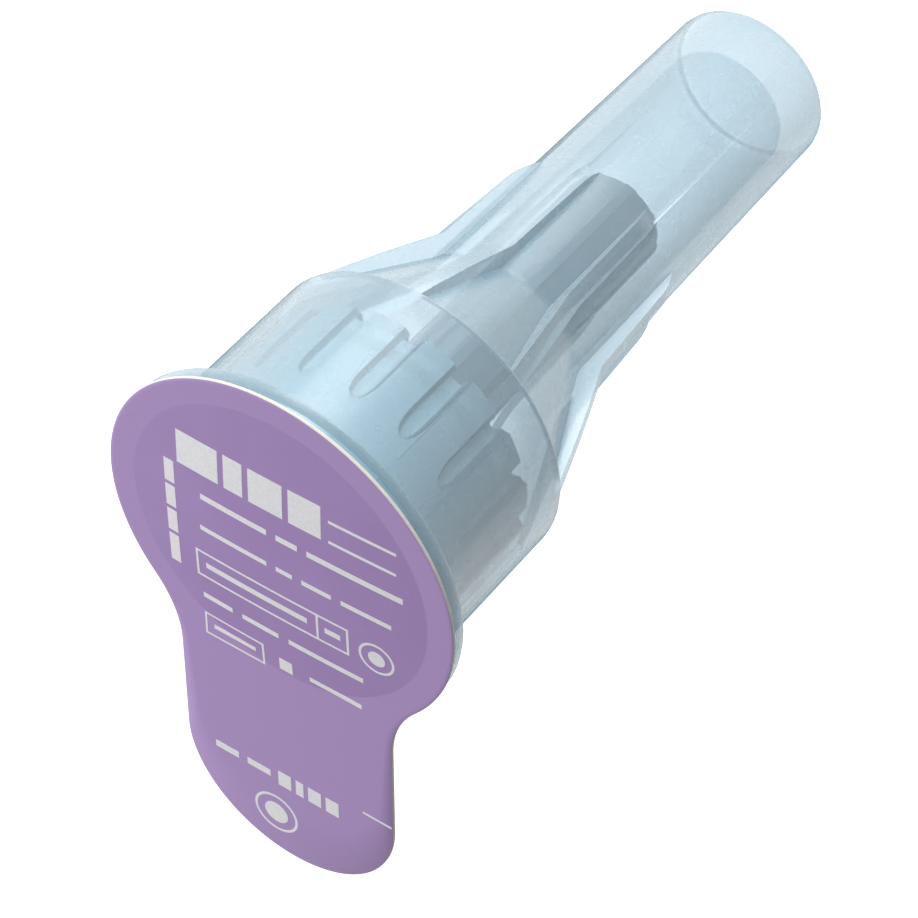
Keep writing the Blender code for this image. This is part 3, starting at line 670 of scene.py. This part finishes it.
def frame_of_ink(maker, left, right, bottom, top, line):
    """A rectangular outline."""
    bar(maker, left, right, bottom, bottom + line)
    bar(maker, left, right, top - line, top)
    bar(maker, left, left + line, bottom + line, top - line)
    bar(maker, right - line, right, bottom + line, top - line)


def print_heading(maker):
    """A heavy band that turns into a thin double line, with a slim band down the left side."""
    row_of_bars(maker, left=-4.75, right=2.25, bottom=2.35, top=4.15, shares=(2.0, 0.9, 1.6, 1.5), gap=0.28)
    for bottom, top in ((3.45, 3.6), (2.35, 2.5)):
        bar(maker, left=2.6, right=5.7, bottom=bottom, top=top)
    for bottom, top in ((0.95, 2.2), (-0.45, 0.75), (-1.9, -0.65), (-3.7, -2.1)):
        bar(maker, left=-5.45, right=-4.95, bottom=bottom, top=top)


def print_light_rows(maker):
    """Rows of light bars."""
    row_of_bars(maker, left=-3.65, right=6.0, bottom=0.95, top=1.25, shares=(1.9, 0.6, 2.6), gap=0.45)
    row_of_bars(maker, left=-3.75, right=5.45, bottom=-0.85, top=-0.6, shares=(2.1, 0.5, 0.9, 1.5), gap=0.45)
    row_of_bars(maker, left=-3.9, right=4.0, bottom=-5.0, top=-4.72, shares=(0.9, 1.1, 2.2), gap=0.5)


def print_double_frame(maker):
    """A frame in two parts with a bar in each, and a dot in a ring beside it."""
    middle = 1.95
    right = 3.4
    bottom = -3.7
    top = -2.15
    line = 0.11
    frame_of_ink(maker, left=-4.1, right=middle, bottom=bottom, top=top, line=line)
    bar(maker, left=middle, right=right, bottom=bottom, top=bottom + line)
    bar(maker, left=middle, right=right, bottom=top - line, top=top)
    bar(maker, left=right - line, right=right, bottom=bottom + line, top=top - line)
    for bar_left, bar_right in ((-3.6, 1.4), (2.25, 3.0)):
        bar(maker, left=bar_left, right=bar_right, bottom=-3.05, top=-2.75)
    centre = (4.7, -3.05)
    ink_ring(maker, centre, radius=0.78, width=0.12)
    ink_dot(maker, centre, radius=0.4)


def print_small_frame(maker):
    """A small frame with a bar in it, a square and a short bar."""
    frame_of_ink(maker, left=-3.95, right=-0.95, bottom=-7.25, top=-5.95, line=0.1)
    bar(maker, left=-3.5, right=-1.4, bottom=-6.72, top=-6.48)
    bar(maker, left=-0.2, right=0.45, bottom=-6.95, top=-6.25)
    bar(maker, left=1.3, right=3.85, bottom=-6.72, top=-6.46)


def print_tongue(maker):
    """Two rows of bars, a dot in a ring, and a tear line at the tongue's edge."""
    row_of_bars(maker, left=-3.85, right=-1.0, bottom=-14.35, top=-13.95, shares=(1.0, 1.0), gap=0.45)
    row_of_bars(maker, left=-0.6, right=2.5, bottom=-14.6, top=-13.7, shares=(1.0, 0.6, 1.0, 1.0), gap=0.24)
    centre = (-0.8, -16.6)
    ink_ring(maker, centre, radius=1.05, width=0.13)
    ink_dot(maker, centre, radius=0.6)
    bar(maker, left=3.75, right=5.2, bottom=-13.36, top=-13.24)


def build_print(material):
    """White shapes in the places of the lid's print: bars, frames and plain rings, with nothing to read."""
    maker = bmesh.new()
    print_heading(maker)
    print_light_rows(maker)
    print_double_frame(maker)
    print_small_frame(maker)
    print_tongue(maker)
    piece = finish_mesh(maker, "lid_ink", material, CAP_BODY)


def floor_material():
    """A pale matt surface that the camera, mirrors and clear plastic see as near white, with its shadow."""
    nodes = MaterialNodes("floor_white")
    nodes.set(Base_Color=srgb(236, 236, 236), Roughness=0.9, Specular_IOR_Level=0.1)
    nodes.material.cycles.emission_sampling = "NONE"
    shown = nodes.new("Emission")
    shown.inputs["Color"].default_value = WHITE
    nodes.link(nodes.maths("MULTIPLY", nodes.seen_directly(), FLOOR_GLOW), shown.inputs["Strength"])
    add = nodes.new("AddShader")
    nodes.link(nodes.shader.outputs[0], add.inputs[0])
    nodes.link(shown.outputs[0], add.inputs[1])
    nodes.link(add.outputs[0], nodes.output.inputs["Surface"])
    return nodes.material


def build_floor():
    """A wide pale floor at the cap's closed end."""
    maker = bmesh.new()
    bmesh.ops.create_grid(maker, x_segments=FLOOR_CELLS, y_segments=FLOOR_CELLS, size=FLOOR_HALF_M)
    mesh = bpy.data.meshes.new("floor")
    maker.to_mesh(mesh)
    maker.free()
    mesh.materials.append(floor_material())
    floor = add_object("floor", mesh)
    floor.location = (0.0, 0.0, -FLOOR_DROP_MM * MM)


def build_surround():
    """A soft pale surround. The camera, mirrors and clear plastic see white."""
    world = bpy.data.worlds.new("studio")
    bpy.context.scene.world = world
    world.use_nodes = True
    nodes = Nodes(world.node_tree)
    soft = nodes.tree.nodes["Background"]
    soft.inputs["Color"].default_value = SURROUND_COLOUR
    soft.inputs["Strength"].default_value = SURROUND_STRENGTH
    white = nodes.new("Background")
    white.inputs["Color"].default_value = WHITE
    white.inputs["Strength"].default_value = 1.0
    surround = nodes.mixed(nodes.seen_directly(), soft, white)
    nodes.link(surround, nodes.tree.nodes["World Output"].inputs["Surface"])


def build_camera():
    """The camera of the photograph."""
    camera_data = bpy.data.cameras.new("photo_camera")
    camera_data.sensor_fit = "HORIZONTAL"
    camera_data.sensor_width = SENSOR_MM
    camera_data.lens = FOCAL_PX * SENSOR_MM / FRAME_PX
    camera_data.clip_start = CLIP_START_M
    camera_data.clip_end = CLIP_END_M
    camera = add_object("photo_camera", camera_data)
    right = PHOTO_RIGHT.normalized()
    back = right.cross(-PHOTO_DOWN).normalized()
    up = back.cross(right)
    turn = Matrix((right, up, back)).transposed().to_4x4()
    camera.matrix_world = Matrix.Translation(CAMERA_MM * MM) @ turn
    bpy.context.scene.camera = camera


def add_lamp(name, azimuth, elevation, distance_mm, size_mm, watts):
    """A square area lamp aimed at the part, from an azimuth off +X and an elevation in degrees."""
    lamp_data = bpy.data.lights.new(name, "AREA")
    lamp_data.shape = "SQUARE"
    lamp_data.size = size_mm * MM
    lamp_data.energy = watts
    lamp = add_object(name, lamp_data)
    turn = math.radians(azimuth)
    rise = math.radians(elevation)
    towards = Vector((math.cos(rise) * math.cos(turn), math.cos(rise) * math.sin(turn), math.sin(rise)))
    lamp.location = Vector((0.0, 0.0, LAMP_AIM_MM)) * MM + towards * distance_mm * MM
    lamp.rotation_euler = towards.to_track_quat("Z", "Y").to_euler()


def add_glow(name, azimuth, reach_mm, length_mm, width_mm, watts):
    """A strip of light on the floor that faces up and runs outwards. Its streak runs up the mouldings."""
    glow_data = bpy.data.lights.new(name, "AREA")
    glow_data.shape = "RECTANGLE"
    glow_data.size = length_mm * MM
    glow_data.size_y = width_mm * MM
    glow_data.energy = watts
    glow = add_object(name, glow_data)
    turn = math.radians(azimuth)
    glow.location = Vector((reach_mm * math.cos(turn), reach_mm * math.sin(turn), GLOW_LIFT_MM)) * MM
    glow.rotation_euler = (math.pi, 0.0, turn)
    glow.visible_camera = False


def build_lamps():
    """Three soft lamps round the part, and a strip of light at its foot."""
    add_lamp("key", azimuth=101.0, elevation=14.0, distance_mm=170.0, size_mm=60.0, watts=0.165)
    add_glow("glow", azimuth=110.0, reach_mm=43.0, length_mm=58.0, width_mm=20.0, watts=0.0085)
    add_lamp("back", azimuth=192.0, elevation=24.0, distance_mm=180.0, size_mm=110.0, watts=0.13)
    add_lamp("top", azimuth=204.0, elevation=60.0, distance_mm=200.0, size_mm=120.0, watts=0.12)


def main():
    """Build the studio, and then the object from its outer cap to the print on its lid."""
    bpy.context.scene.view_settings.view_transform = "Standard"
    build_camera()
    build_surround()
    build_floor()
    build_lamps()
    dress("outer_cap", "cap_moulding", cap_material(), CAP_BODY, 0.05)
    dress("needle_hub", "hub_moulding", hub_material(), CAP_BODY, 0.03)
    dress("inner_shield", "shield_moulding", shield_material(), SHIELD_BODY, 0.04)
    dress("cannula", "steel_cannula", steel_material(), CAP_BODY)
    dress("adhesive_bead", "glue_bead", glue_material(), CAP_BODY)
    build_lid(lid_material())
    build_print(ink_material())


main()
